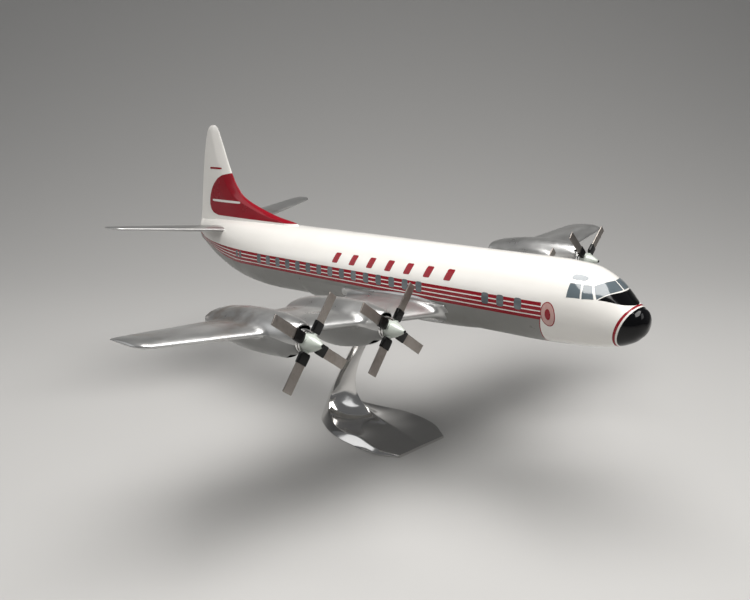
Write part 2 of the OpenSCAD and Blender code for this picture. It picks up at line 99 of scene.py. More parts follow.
class Shader:
    """A node material on one Principled surface, built up in a few calls; wire(a, b) joins sockets."""

    def __init__(self, name, color, metallic=0.0, roughness=0.3, coat=0.0, specular=0.5):
        self.material = bpy.data.materials.new(name)
        self.material.use_nodes = True
        self.tree = self.material.node_tree
        self.surface = self.tree.nodes["Principled BSDF"]
        self.surface.inputs["Base Color"].default_value = (*color, 1)
        self.surface.inputs["Metallic"].default_value = metallic
        self.surface.inputs["Roughness"].default_value = roughness
        self.surface.inputs["Coat Weight"].default_value = coat
        self.surface.inputs["Coat Roughness"].default_value = 0.06
        self.surface.inputs["Specular IOR Level"].default_value = specular
        self.coords = self.node("ShaderNodeTexCoord").outputs["Object"]
        self.height = None

    def node(self, kind, **values):
        made = self.tree.nodes.new(kind)
        for key, value in values.items():
            if hasattr(made, key):
                setattr(made, key, value)
            else:
                made.inputs[key.replace("_", " ")].default_value = value
        return made

    def wire(self, out, into):
        self.tree.links.new(out, into)

    def stretched(self, scale, turn=(0, 0, 0)):
        """Object coordinates turned, then scaled, so that a texture runs along a direction."""
        mapping = self.node("ShaderNodeMapping")
        mapping.inputs["Rotation"].default_value = turn
        mapping.inputs["Scale"].default_value = scale
        self.wire(self.coords, mapping.inputs["Vector"])
        return mapping.outputs["Vector"]

    def noise(self, scale, detail=4.0, rough=0.55, coords=None, distortion=0.0):
        made = self.node("ShaderNodeTexNoise")
        made.inputs["Scale"].default_value = scale
        made.inputs["Detail"].default_value = detail
        made.inputs["Roughness"].default_value = rough
        made.inputs["Distortion"].default_value = distortion
        self.wire(coords or self.coords, made.inputs["Vector"])
        return made.outputs["Fac"]

    def ramp(self, value, low, high, out_low=0.0, out_high=1.0):
        made = self.node("ShaderNodeMapRange")
        made.clamp = True
        for key, number in (("From Min", low), ("From Max", high), ("To Min", out_low), ("To Max", out_high)):
            made.inputs[key].default_value = number
        self.wire(value, made.inputs["Value"])
        return made.outputs["Result"]

    def times(self, a, b):
        made = self.node("ShaderNodeMath")
        made.operation = "MULTIPLY"
        self.wire(a, made.inputs[0])
        if isinstance(b, (int, float)):
            made.inputs[1].default_value = b
        else:
            self.wire(b, made.inputs[1])
        return made.outputs[0]

    def tint(self, factor, color):
        """Mixes the surface colour towards another one by a factor."""
        mix = self.node("ShaderNodeMix")
        mix.data_type = "RGBA"
        self.wire(factor, mix.inputs["Factor"])
        base = self.surface.inputs["Base Color"]
        if base.is_linked:
            self.wire(base.links[0].from_socket, mix.inputs["A"])
        else:
            mix.inputs["A"].default_value = base.default_value
        mix.inputs["B"].default_value = (*color, 1)
        self.wire(mix.outputs["Result"], base)
        return self

    def vary_roughness(self, value, low, high):
        self.wire(self.ramp(value, 0.3, 0.7, low, high), self.surface.inputs["Roughness"])
        return self

    def bump(self, value, depth_mm, strength=1.0):
        made = self.node("ShaderNodeBump")
        made.inputs["Strength"].default_value = strength
        made.inputs["Distance"].default_value = depth_mm * MM
        self.wire(value, made.inputs["Height"])
        if self.height is not None:
            self.wire(self.height, made.inputs["Normal"])
        self.height = made.outputs["Normal"]
        self.wire(self.height, self.surface.inputs["Normal"])
        return self


def enamel(name, color, roughness=0.16, dirt=(0.35, 0.33, 0.28), dirt_share=0.10, coat=0.4, specular=0.5):
    """Sprayed gloss paint: faint orange peel, uneven polish and a little grime."""
    s = Shader(name, color, roughness=roughness, coat=coat, specular=specular)
    s.tint(s.ramp(s.noise(14, 6, 0.6), 0.45, 0.85, 0.0, dirt_share), dirt)
    s.vary_roughness(s.noise(34, 5), roughness * 0.75, roughness * 1.6)
    s.bump(s.noise(380, 2), 0.02, 0.35)
    s.bump(s.noise(45, 2), 0.12, 0.25)
    return s.material


def cast_silver():
    """Silver-painted casting, hand-rubbed along the span, with brownish wear in patches."""
    s = Shader("silver_casting_paint", (0.60, 0.60, 0.59), metallic=0.9, roughness=0.34)
    s.tint(s.ramp(s.noise(22, 6, 0.6), 0.35, 0.75, 0.0, 0.35), (0.42, 0.42, 0.42))
    streaks = s.noise(60, 5, 0.6, s.stretched((1.0, 0.12, 1.0)))
    s.tint(s.ramp(streaks, 0.4, 0.8, 0.0, 0.22), (0.36, 0.35, 0.34))
    patches = s.ramp(s.noise(9, 3, 0.5, distortion=0.6), 0.57, 0.66)
    wear = s.times(patches, s.ramp(s.noise(70, 6, 0.7), 0.4, 0.62))
    s.tint(s.times(wear, 0.6), (0.33, 0.25, 0.20))
    s.vary_roughness(s.noise(48, 6, 0.65, s.stretched((1.0, 0.35, 1.0))), 0.24, 0.46)
    s.bump(s.noise(900, 3, 0.6), 0.02, 0.3)
    s.bump(s.noise(70, 3), 0.12, 0.22)
    return s.material


def polished_cast():
    """Mirror-polished aluminium with fine scratches running up the stem and a few cloudy spots."""
    s = Shader("stand_polish", (0.70, 0.69, 0.675), metallic=1.0, roughness=0.10)
    s.tint(s.ramp(s.noise(16, 5, 0.6), 0.5, 0.85, 0.0, 0.35), (0.45, 0.43, 0.41))
    scratches = s.noise(420, 4, 0.7, s.stretched((1.0, 0.06, 1.0), (0, 0, 0.35)))
    crossing = s.noise(300, 4, 0.7, s.stretched((0.07, 1.0, 0.5), (0, 0.5, -0.3)))
    s.vary_roughness(s.noise(38, 6, 0.65), 0.05, 0.22)
    s.bump(scratches, 0.012, 0.35)
    s.bump(crossing, 0.010, 0.25)
    s.bump(s.noise(26, 3), 0.35, 0.35)
    return s.material


def turned_metal(name, color, roughness, streak_scale=(1, 1, 1), streak=0.3, stain=(0.3, 0.25, 0.2),
                 stain_share=0.3):
    """Bare metal with fine grain along one direction and uneven stains."""
    s = Shader(name, color, metallic=1.0, roughness=roughness)
    s.tint(s.ramp(s.noise(60, 6, 0.65), 0.42, 0.8, 0.0, stain_share), stain)
    grain = s.noise(520, 3, 0.6, s.stretched(streak_scale))
    s.vary_roughness(grain, roughness * 0.75, roughness * 1.35)
    s.bump(grain, 0.02, streak)
    return s.material


def hardwood():
    s = Shader("block_wood_grain", (0.50, 0.33, 0.18), roughness=0.6)
    grain = s.noise(160, 6, 0.7, s.stretched((0.08, 1, 1)))
    s.tint(s.ramp(grain, 0.35, 0.75), (0.30, 0.17, 0.08))
    s.bump(grain, 0.15, 0.4)
    return s.material


def pane(name, color):
    """Painted window: slate with cloudy light patches, under gloss."""
    s = Shader(name, color, roughness=0.12, coat=0.7)
    s.tint(s.ramp(s.noise(42, 4, 0.5, distortion=0.4), 0.45, 0.75, 0.0, 0.5), (0.30, 0.33, 0.35))
    s.bump(s.noise(60, 2), 0.06, 0.2)
    return s.material


WHITE = enamel("white_enamel", (0.82, 0.80, 0.76))
CRIMSON = enamel("crimson_enamel", (0.27, 0.004, 0.013), 0.2, (0.14, 0.0, 0.006), 0.35, 0.15, 0.35)
GREY = enamel("belly_grey", (0.24, 0.238, 0.225), 0.33, (0.13, 0.125, 0.11), 0.25, 0.15)
# Grey for the lower halves of the nacelles: a painted reflection of the darker floor in the silver casting
NACELLE_FLOOR_REFLECTION = enamel("nacelle_painted_floor_reflection", (0.27, 0.27, 0.262), 0.38, (0.16, 0.155, 0.145), 0.3, 0.1)
# Black paint for the radome, glare panel and spinner tips, also used as painted shade inside the nacelle
# intakes and bore
BLACK = enamel("black_paint_and_recess_shade", (0.0015, 0.0015, 0.002), 0.08, (0.006, 0.006, 0.006), 0.25, 0.0, 0.3)
SEAM = enamel("seam_shadow", (0.02, 0.02, 0.02), 0.6, (0.05, 0.04, 0.03), 0.3)
PINK = enamel("badge_rose", (0.55, 0.33, 0.30), 0.2)
SLATE = pane("window_slate", (0.105, 0.125, 0.135))
GLASS = pane("cockpit_slate", (0.10, 0.125, 0.14))
SILVER = cast_silver()
POLISH = polished_cast()
RING = turned_metal("bright_turned", (0.82, 0.815, 0.80), 0.2, (1, 0.05, 0.05), 0.35, (0.5, 0.47, 0.43), 0.2)
BLADE = turned_metal("blade_satin", (0.34, 0.31, 0.285), 0.36, (1, 1, 0.05), 0.4, (0.17, 0.14, 0.12), 0.6)
SPINNER = enamel("spinner_grey_green", (0.50, 0.54, 0.49), 0.13, (0.30, 0.31, 0.27), 0.25)
CUFF_BLACK = enamel("cuff_black", (0.0015, 0.0015, 0.0015), 0.2, (0.015, 0.013, 0.012), 0.4, 0.0, 0.3)
STEEL = turned_metal("drawn_steel", (0.50, 0.50, 0.51), 0.28, (1, 0.05, 1))
BRASS = turned_metal("turned_brass", (0.70, 0.50, 0.20), 0.25, (1, 0.05, 0.05))
WOOD = hardwood()

CAD_LOOKS = {"mounting_block": WOOD, "threaded_insert": BRASS, "bearing_sleeve": BRASS, "front_spar": STEEL,
             "rear_spar": STEEL, "stabilizer_spar": STEEL, "stand_stud": STEEL, "prop_shaft": STEEL,
             "shaft_collar": STEEL}
for node_name, node in frame["nodes"].items():
    for start, look in CAD_LOOKS.items():
        if node_name.startswith(start):
            node.data.materials.clear()
            node.data.materials.append(look)

# ---- meshes ----


def make(name, points, faces, looks, body, slot, nodes=(), face_looks=None, sharp_deg=None, normals=None):
    """A smooth-shaded mesh from aircraft-frame points, riding on a body and standing for CAD nodes."""
    mesh = bpy.data.meshes.new(name)
    mesh.from_pydata(place(points).tolist(), [], [tuple(int(i) for i in f) for f in faces])
    for look in looks:
        mesh.materials.append(look)
    if face_looks is not None:
        mesh.polygons.foreach_set("material_index", np.asarray(face_looks, np.int32))
    mesh.shade_smooth()
    if sharp_deg is not None:
        mesh.set_sharp_from_angle(angle=math.radians(sharp_deg))
    mesh.update()
    if normals is not None:
        mesh.normals_split_custom_set_from_vertices(turn_up(normals).tolist())
    piece = bpy.data.objects.new(name, mesh)
    bpy.context.scene.collection.objects.link(piece)
    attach(piece, body)
    if nodes:
        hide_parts(*nodes)
    return piece


def tube_faces(rows, columns, caps=True):
    """Quads through rows of closed rings, as (row * columns + column) indices, with end caps."""
    i, j = np.meshgrid(np.arange(rows - 1), np.arange(columns), indexing="ij")
    k = (j + 1) % columns
    quads = np.stack([i * columns + j, i * columns + k, (i + 1) * columns + k, (i + 1) * columns + j], -1)
    faces = [tuple(q) for q in quads.reshape(-1, 4)]
    if caps:
        faces.append(tuple(range(columns - 1, -1, -1)))
        faces.append(tuple((rows - 1) * columns + np.arange(columns)))
    return faces


def outward(points, faces):
    """Turns a closed mesh's faces round if they point inwards."""
    p = np.asarray(points, float).reshape(-1, 3)
    p = p - p.mean(0)
    volume = sum(float(np.dot(p[f[0]], np.cross(p[f[k]], p[f[k + 1]])))
                 for f in faces for k in range(1, len(f) - 1))
    return [tuple(reversed(f)) for f in faces] if volume < 0 else faces


def slab(top, bottom, wrap=False):
    """Points and faces of a closed thin sheet between two grids of points; wrap joins the last column
    to the first and caps the first row, for sheets laid out as rings about a centre."""
    rows, columns = top.shape[:2]
    n = rows * columns
    points = np.concatenate([top.reshape(-1, 3), bottom.reshape(-1, 3)])
    last = columns if wrap else columns - 1
    at = lambda i, j: i * columns + j % columns
    faces = []
    for i in range(rows - 1):
        for j in range(last):
            a, b, c, d = at(i, j), at(i, j + 1), at(i + 1, j + 1), at(i + 1, j)
            faces += [(a, b, c, d), (n + d, n + c, n + b, n + a)]
    if wrap:
        rim = [at(rows - 1, j) for j in range(columns)]
        faces += [tuple(at(0, j) for j in range(columns - 1, -1, -1)),
                  tuple(n + at(0, j) for j in range(columns))]
    else:
        rim = ([at(0, j) for j in range(columns)] + [at(i, columns - 1) for i in range(1, rows)]
               + [at(rows - 1, j) for j in range(columns - 2, -1, -1)]
               + [at(i, 0) for i in range(rows - 2, 0, -1)])
    for a, b in zip(rim, rim[1:] + rim[:1]):
        faces.append((b, a, n + a, n + b) if not wrap else (a, b, n + b, n + a)[::-1])
    return points, outward(points, faces)


def joined(parts):
    """Several (points, faces) as one."""
    points, faces, start = [], [], 0
    for p, f in parts:
        points.append(p)
        faces += [tuple(int(i) + start for i in face) for face in f]
        start += len(p)
    return np.concatenate(points), faces


# ---- fuselage ----

NOSE_X = 2
FUSELAGE = [  # distance behind the nose tip, top, bottom, half width, height of the widest point
    [0, -8, -8, 0, -8], [2, -0.5, -14, 7, -7.4], [7, 4.4, -20.4, 13, -8], [15, 10, -25.4, 18.5, -7.7],
    [28, 21.9, -29, 25.5, -4.5], [45, 30.8, -31.5, 31, -1], [65, 33.8, -33, 33.2, 0],
    [90, 34.5, -34.2, 34.3, 0], [125, 34.5, -34.5, 34.5, 0], [400, 34.5, -34.5, 34.5, 0],
    [430, 34.5, -35, 33.6, -0.3], [462, 34.3, -33.8, 30.5, 0], [502, 33.6, -28.5, 24, 2.5],
    [532, 32.6, -20, 18, 6], [562, 31, -7.8, 11, 11.5], [577, 29.5, 1, 7, 15],
    [588, 27, 9.5, 3.2, 18], [590, 24, 15, 1.2, 19]]


def on_fuselage(s, angle, extra=0.0):
    """Point on the fuselage at s behind the nose; angle is from the top, positive to port, in degrees."""
    a = np.radians(angle)
    top, bottom = smooth(FUSELAGE, s, 1), smooth(FUSELAGE, s, 2)
    wide, mid = smooth(FUSELAGE, s, 3), smooth(FUSELAGE, s, 4)
    up = np.cos(a)
    reach = np.where(up > 0, top - mid + extra, mid - bottom + extra)
    return np.stack([NOSE_X - s + 0 * a, np.maximum(wide + extra, 0.05) * np.sin(a), mid + reach * up], -1)


def fuselage_normal(s, angle):
    ds = on_fuselage(s + 0.3, angle) - on_fuselage(np.maximum(s - 0.3, 0.02), angle)
    da = on_fuselage(s, angle + 0.5) - on_fuselage(s, angle - 0.5)
    n = np.cross(ds, da)
    n /= np.linalg.norm(n, axis=-1, keepdims=True) + 1e-12
    middle = np.stack([NOSE_X - s, 0 * s, smooth(FUSELAGE, s, 4)], -1)
    side = np.sign((n * (on_fuselage(s, angle) - middle)).sum(-1))
    return n * np.where(side == 0, 1, side)[..., None]


def angle_at(s, z):
    """Angle from the top at which the fuselage side is at height z."""
    top, bottom = smooth(FUSELAGE, s, 1), smooth(FUSELAGE, s, 2)
    mid = smooth(FUSELAGE, s, 4)
    rise = z - mid
    share = np.where(rise > 0, rise / (top - mid), rise / (mid - bottom))
    return np.degrees(np.arccos(np.clip(share, -1, 1)))


# Radome edge, the rings behind it, and where the stripes and the grey belly begin
radome_s = lambda angle: 13.6 - 6.3 * np.cos(np.radians(angle))
ring_s = lambda angle: 2.3 + 1.0 * np.sin(np.radians(angle)) ** 2
RING_WHITE, RING_GAP = 0.42, 0.06
TIP_S = 0.45
BLEND_S = 60
STRIPE_FRONT_S = 73.4
EDGE_LINE = 0.8
BELLY_SWEEP = 5.5
STRIPES = [[70, 5.8, -8.4], [190, 6.0, -8.3], [300, 6.6, -7.5], [440, 6.9, -7.3], [495, 6.4, -8.0],
           [533, 6.9, -3.0], [553, 7.8, 1.6], [577, 12, 8.5], [590, 19.6, 18.6]]
BAND, LINE = 2.95, 0.92
ROOF_COLUMNS, BAND_COLUMNS, BELLY_COLUMNS = 22, 2, 18


def fuselage_columns(s):
    """Angles of one side's ring points at s: roof, the seven bands of the stripes, then the belly."""
    high, low = angle_at(s, smooth(STRIPES, s, 1)), angle_at(s, smooth(STRIPES, s, 2))
    parts = np.cumsum([0] + [BAND, LINE] * 3 + [BAND])
    edges = parts / parts[-1]
    shares = [np.linspace(a, b, BAND_COLUMNS + 1)[1:] for a, b in zip(edges, edges[1:])]
    shares = np.concatenate([[0], *shares])
    z = smooth(STRIPES, s, 1) + shares * (smooth(STRIPES, s, 2) - smooth(STRIPES, s, 1))
    return np.concatenate([np.linspace(0, high, ROOF_COLUMNS + 1)[:-1], angle_at(s, z),
                           np.linspace(low, 180, BELLY_COLUMNS + 1)[1:]])


def fuselage_skin():
    even = np.concatenate([np.linspace(BLEND_S, STRIPE_FRONT_S, 6)[1:], [STRIPE_FRONT_S + EDGE_LINE],
                           np.linspace(78, 130, 22), np.linspace(136, 396, 48), np.linspace(400, 586, 92),
                           [587.2, 588.2, 589, 589.6, 589.95]])
    half = fuselage_columns(float(BLEND_S))
    rows, marks = [], []
    for u in np.linspace(0.03, 1, 22) ** 1.7:
        rows.append((TIP_S + (radome_s(half) - TIP_S) * u, half)); marks.append("radome")
    for u in (RING_GAP, RING_WHITE, 1.0):
        rows.append((radome_s(half) + ring_s(half) * u, half)); marks.append("ring")
    start = radome_s(half) + ring_s(half)
    for u in np.linspace(0, 1, 40)[1:]:
        rows.append((start + (BLEND_S - start) * u, half)); marks.append("nose")
    for s in even:
        columns = fuselage_columns(s)
        lag = BELLY_SWEEP * np.clip((columns - 100) / 45, 0, 1) ** 0.7 * math.exp(-((s - 74) / 14) ** 2)
        rows.append((s + lag, columns)); marks.append(float(s))
    m = len(half)
    around = 2 * (m - 1)
    points = []
    for s, columns in rows:
        port = on_fuselage(s, columns)
        starboard = (port * [1, -1, 1])[1:-1][::-1]
        points.append(np.concatenate([port, starboard]))
    band_start = ROOF_COLUMNS
    band_end = ROOF_COLUMNS + 7 * BAND_COLUMNS
    looks = []
    for i in range(len(rows) - 1):
        after = marks[i + 1]
        for j in range(around):
            c = j if j < m - 1 else around - 1 - j
            if after == "radome":
                look = 3
            elif after == "ring":
                look = 1 if (marks[i] == "ring" and marks[i + 2] == "nose") else 0
            elif after == "nose" or after <= STRIPE_FRONT_S + 1e-6:
                look = 0
            elif c < band_start:
                look = 0
            elif c < band_end:
                look = 0 if ((c - band_start) // BAND_COLUMNS) % 2 else 1
            else:
                look = 1 if after <= STRIPE_FRONT_S + EDGE_LINE + 1e-6 else 2
            looks.append(look)
    looks += [3, 0]
    points = np.concatenate(points)
    faces = tube_faces(len(rows), around)
    make("fuselage_skin", points, outward(points, faces), [WHITE, CRIMSON, GREY, BLACK], AIRFRAME,
         "white_gloss_shell", ("fuselage_left", "fuselage_right"), looks)


fuselage_skin()

# ---- paint laid on the fuselage: windows, cockpit, panel, badge and bars ----

PAINT_UP, PAINT_IN = 0.10, 0.15


def fuselage_paint(s, angle, wrap=False, up=PAINT_UP):
    """A thin closed sheet on the fuselage, over grids of station and angle."""
    s, angle = np.asarray(s, float), np.asarray(angle, float)
    skin, normal = on_fuselage(s, angle), fuselage_normal(s, angle)
    return slab(skin + normal * up, skin - normal * PAINT_IN, wrap)


def rounded_rectangle(width, height, power=4.0, rings=5, around=40, lean=0.0):
    """Rings of a rounded rectangle about the origin, as grids of across and up, mm."""
    t = np.linspace(0, 2 * math.pi, around, endpoint=False)
    c, s = np.cos(t), np.sin(t)
    scale = (np.abs(c) ** power + np.abs(s) ** power) ** (-1 / power)
    r = np.concatenate([[0.02], np.linspace(0, 1, rings)[1:]])[:, None]
    up = r * (scale * s * height / 2)[None]
    return r * (scale * c * width / 2)[None] + lean * up, up


def side_paint(x, z, shape, side, up=PAINT_UP):
    """A flat shape wrapped on a fuselage side, centred at station x and height z."""
    across, high = shape
    s = NOSE_X - (x + across)
    return fuselage_paint(s, side * angle_at(s, z + high), True, up)


def ellipse(width, height):
    return rounded_rectangle(width, height, 2.0)


WINDOW_Z = 1.9
WINDOW = rounded_rectangle(7.0, 9.4, 4.5)
FIRST_X, LAST_X, CABIN_COUNT = -199.5, -432.3, 15
cabin_x = np.concatenate([np.linspace(FIRST_X, LAST_X, CABIN_COUNT), [-93.1, -110.7, -126.1]])
windows = [side_paint(x, WINDOW_Z, WINDOW, side) for x in cabin_x for side in (-1, 1)]
TAIL_WINDOW_Z, TAIL_WINDOW = 1.6, rounded_rectangle(4.6, 7.4, 4.5)
windows += [side_paint(x, TAIL_WINDOW_Z, TAIL_WINDOW, side) for x in (-472, -480) for side in (-1, 1)]
make("cabin_windows", *joined(windows), [SLATE], AIRFRAME, "white_gloss_shell", sharp_deg=40)


def four_corners(corners, steps=14, bulge=(0.0, 0.0, 0.0, 0.0)):
    """Grid of (x, angle) inside four corners given in order round the shape; bulge pushes the middle of
    each edge outwards along x."""
    a, b, c, d = (np.array(p, float) for p in corners)
    u, v = np.meshgrid(np.linspace(0, 1, steps), np.linspace(0, 1, steps), indexing="ij")
    grid = (a * ((1 - u) * (1 - v))[..., None] + b * (u * (1 - v))[..., None]
            + c * (u * v)[..., None] + d * ((1 - u) * v)[..., None])
    swell = (bulge[0] * 4 * u * (1 - u) * (1 - v) + bulge[2] * 4 * u * (1 - u) * v
             + bulge[1] * 4 * v * (1 - v) * u + bulge[3] * 4 * v * (1 - v) * (1 - u))
    return NOSE_X - (grid[..., 0] + swell), grid[..., 1]


def cockpit():
    parts = []
    for side in (-1, 1):
        for corners, bulge in (
                (((-51.2, 47.8), (-42.6, 44.2), (-40.5, 65.0), (-51.0, 68.2)), (0, 0, 0, 0)),
                (((-41.3, 43.8), (-35.4, 39.6), (-31.0, 58.4), (-39.2, 64.6)), (0, 0, 0, 0)),
                (((-34.2, 38.4), (-26.9, 1.3), (-19.6, 2.0), (-29.2, 56.4)), (1.4, 0, 2.2, 0))):
            s, angle = four_corners(corners, bulge=bulge)
            parts.append(fuselage_paint(s, side * angle))
        across, high = rounded_rectangle(11.4, 10.5, 3.6)
        parts.append(fuselage_paint(NOSE_X - (-46.0 + across - 0.12 * high),
                                    side * (34.6 + high - 0.32 * across), True))
    make("cockpit_glazing", *joined(parts), [GLASS], AIRFRAME, "white_gloss_shell", sharp_deg=40)


cockpit()

# Black panel between the windshield and the radome rings: angle from the top, front and rear stations
PANEL = [[0, -7.6, -18.7], [10, -8.0, -19.0], [25, -10.6, -20.7], [38, -15.2, -23.4], [46, -19.6, -25.3],
         [52, -24.0, -27.0], [56, -28.0, -28.2]]


def glare_panel():
    angle = np.linspace(-56, 56, 65)[:, None] + np.zeros((1, 15))
    share = np.linspace(0, 1, 15)[None]
    front, rear = smooth(PANEL, np.abs(angle), 1), smooth(PANEL, np.abs(angle), 2)
    make("glare_panel", *fuselage_paint(NOSE_X - (front + (rear - front) * share), angle), [BLACK], AIRFRAME,
         "white_gloss_shell", sharp_deg=40)


glare_panel()

BARS = 7
BAR = rounded_rectangle(7.6, 9.2, 9.0, lean=0.34)
bars = [side_paint(x, 15.6, BAR, side) for x in np.linspace(-309, -167, BARS) for side in (-1, 1)]
make("side_bars", *joined(bars), [CRIMSON], AIRFRAME, "white_gloss_shell", sharp_deg=40)

BADGE_X, BADGE_Z = -65.4, -3.0
BADGE = [("badge_edge", (13.0, 20.0), CRIMSON, 0.08), ("badge_field", (11.4, 18.4), PINK, 0.14),
         ("badge_centre", (5.0, 9.0), CRIMSON, 0.20)]
for badge_name, size, look, lift in BADGE:
    make(badge_name, *joined([side_paint(BADGE_X, BADGE_Z, ellipse(*size), side, lift) for side in (-1, 1)]),
         [look], AIRFRAME, "white_gloss_shell", sharp_deg=40)

# ---- wing saddle ----

SADDLE = [[154, 0.02], [166, 1.2], [184, 2.4], [350, 2.4], [364, 2], [368, 1.2]]
SADDLE_TOP_Z = -11


def saddle():
    s = [np.linspace(154, 184, 20), np.linspace(190, 350, 30), np.linspace(353, 368, 12)]
    s = np.concatenate(s)[:, None]
    proud = smooth(SADDLE, s, 1)
    low = angle_at(s, SADDLE_TOP_Z)
    share = np.linspace(0, 1, 90)[None]
    angle = low + (360 - 2 * low) * share
    edge = np.clip(np.minimum(share, 1 - share) * 9, 0, 1)
    rounding = 0.04 + 0.96 * edge * edge * (3 - 2 * edge)
    skin = on_fuselage(s + 0 * angle, angle)
    top = skin + (on_fuselage(s + 0 * angle, angle, 1.0) - skin) * (proud * rounding)[..., None]
    inner = skin - fuselage_normal(s + 0 * angle, angle) * 0.4
    points, faces = slab(top, inner)
    make("saddle_fairing", points, faces, [GREY], AIRFRAME, "grey_paint", ("wing_saddle",), sharp_deg=50)
    # A dark hairline where the rear edge meets the fuselage
    s = np.array([368.0, 368.3, 368.6])[:, None]
    angle = 360 - np.linspace(angle_at(368.0, SADDLE_TOP_Z), 360 - angle_at(368.0, SADDLE_TOP_Z), 90)[None]
    make("saddle_seam", *fuselage_paint(s + 0 * angle, angle + 0 * s, up=0.06), [SEAM], AIRFRAME,
         "grey_paint")


saddle()

# ---- wings with their nacelles, blended like a casting ----

HALF_SPAN = 297.3
WING_LE, WING_TE = (-174, -220.3), (-295, -263)
WING_Z, DIHEDRAL = -23.2, 0.095
ROOT_T, TIP_T, TIP_ROUND = 15.5, 5.4, 11
NACELLE = [  # distance behind the propeller, half width, top, bottom outboard, bottom inboard
    [7.5, 9.2, 13.3, -9.4, -9.4], [12, 11.2, 14.8, -10.6, -10.8], [17, 12.8, 15.9, -12, -12.6],
    [21, 13.8, 16.5, -14.6, -15.4], [30, 15.4, 17.2, -15.6, -18.2], [45, 17, 17.8, -16.3, -22],
    [62, 17.6, 17.6, -16.4, -24.2], [78, 17.8, 16.6, -15.4, -23], [95, 17.6, 14.4, -12, -18],
    [106, 17.2, 12.6, -8, -11.5], [113.5, 16.8, 10.6, -2, -3]]
VOXEL = 0.75
BAND_MM = 10.5
FILLET, ROOT_FILLET = 6.0, 8.0
ROOT_SHAVE, ROOT_REACH, ROOT_DEPTH = 0.3, 9.0, 1.2
SLOT_R, SLOT_T, SLOT_W = 10.9, 1.25, 7.6
# Upper edge of the painted reflection on a nacelle's lower half, the grey standing for the darker floor
# mirrored in the silver, above the shaft, by distance behind the propeller
FLOOR_REFLECTION_EDGE = [[0, -2.5], [14, 0.5], [28, 3.4], [42, 3.6], [58, 0.5], [76, -4], [95, -6], [120, -6]]


def foil(u):
    return 1.4845 * np.sqrt(u) - 0.63 * u - 1.758 * u**2 + 1.4215 * u**3 - 0.5075 * u**4


def foil_ring(y, le, te, z, thick, camber, count=96):
    a = 2 * math.pi * np.arange(count) / count
    u = (1 + np.cos(a)) / 2
    rise = np.sign(np.round(np.sin(a), 9)) * (thick * foil(u) + 0.35 * u)
    return np.stack([le + (te - le) * u, y + 0 * u, z + camber * 4 * u * (1 - u) + rise], -1)


def tip_share(y, span, round_l):
    return 1.0 if y < span - round_l else math.sqrt(max(1 - ((y - span + round_l) / round_l) ** 2, 0))


def to_rounded_tip(inner, span, round_l):
    """Stations out to a wing tip, closing up where it rounds off."""
    return np.concatenate([inner, span - round_l * (1 - np.sin(np.linspace(0.03, 1.53, 22)))])


def wing_loft():
    rings = []
    for y in to_rounded_tip(np.linspace(18, 286, 60), HALF_SPAN, TIP_ROUND):
        f, share = y / HALF_SPAN, max(tip_share(y, HALF_SPAN, TIP_ROUND), 0.06)
        le, te = (e[0] + (e[1] - e[0]) * f for e in (WING_LE, WING_TE))
        pivot, keep = le + (te - le) * 0.86, 0.62 + 0.38 * share
        rings.append(foil_ring(y, pivot + (le - pivot) * keep, pivot + (te - pivot) * keep,
                               WING_Z + DIHEDRAL * y, (ROOT_T + (TIP_T - ROOT_T) * f) * share, 1.2 * share))
    return np.array(rings)


def nacelle_loft(engine, count=84):
    a = 2 * math.pi * np.arange(count) / count
    power = 2 / 2.25
    rounded = lambda v: np.sign(v) * np.abs(v) ** power
    rings = []
    for d in np.linspace(7.5, 113.5, 72):
        w, top = smooth(NACELLE, d, 1), smooth(NACELLE, d, 2)
        bottom = smooth(NACELLE, d, 3 if engine == 1 else 4)
        mid = (top + bottom) * 0.42
        reach = np.where(np.cos(a) > 0, top - mid, mid - bottom)
        rings.append(np.stack([0 * a - d, w * rounded(np.sin(a)), mid + reach * rounded(np.cos(a))], -1))
    return np.array(rings) + [PROP_X, *ENGINE_YZ[engine]]


def closed_mesh(rings):
    """Points, quads and triangles of a loft with fan-shaped ends."""
    rows, columns = rings.shape[:2]
    points = np.concatenate([rings.reshape(-1, 3), [rings[0].mean(0), rings[-1].mean(0)]])
    quads = np.array(tube_faces(rows, columns, caps=False))
    j = np.arange(columns)
    k = (j + 1) % columns
    first, last = rows * columns, rows * columns + 1
    start = (rows - 1) * columns
    ends = np.concatenate([np.stack([k, j, 0 * j + first], -1),
                           np.stack([start + j, start + k, 0 * j + last], -1)])
    return points, quads, ends


class Field:
    """Distance fields on one grid over the port wing."""

    def __init__(self, low, high):
        self.low = np.array(low, float)
        self.shape = tuple(int(math.ceil(v)) for v in (np.array(high) - self.low) / VOXEL)

    def axes(self):
        return np.meshgrid(*[self.low[k] + VOXEL * np.arange(self.shape[k]) for k in range(3)],
                           indexing="ij", sparse=True)

    def distance(self, rings):
        points, quads, ends = closed_mesh(rings)
        grid = openvdb.FloatGrid.createLevelSetFromPolygons(
            ((points - self.low) / VOXEL).astype(np.float32), ends.astype(np.uint32), quads.astype(np.uint32),
            openvdb.createLinearTransform(1.0), BAND_MM / VOXEL)
        values = np.zeros(self.shape, np.float32)
        grid.copyToArray(values, ijk=(0, 0, 0))
        return values * VOXEL

    def mesh(self, values):
        grid = openvdb.FloatGrid(BAND_MM)
        grid.copyFromArray(np.ascontiguousarray(values, np.float32), ijk=(0, 0, 0))
        points, quads = grid.convertToQuads(0.0)
        return points.astype(float) * VOXEL + self.low, quads

    def normals(self, values, points):
        slopes = np.gradient(values)
        at = (points - self.low) / VOXEL
        base = np.clip(np.floor(at).astype(int), 0, np.array(self.shape) - 2)
        part = at - base
        out = np.zeros_like(points)
        for corner in range(8):
            step = np.array([corner >> 2 & 1, corner >> 1 & 1, corner & 1])
            weight = np.prod(np.where(step, part, 1 - part), axis=1)
            i, j, k = (base + step).T
            out += weight[:, None] * np.stack([g[i, j, k] for g in slopes], -1)
        return out / (np.linalg.norm(out, axis=1, keepdims=True) + 1e-9)


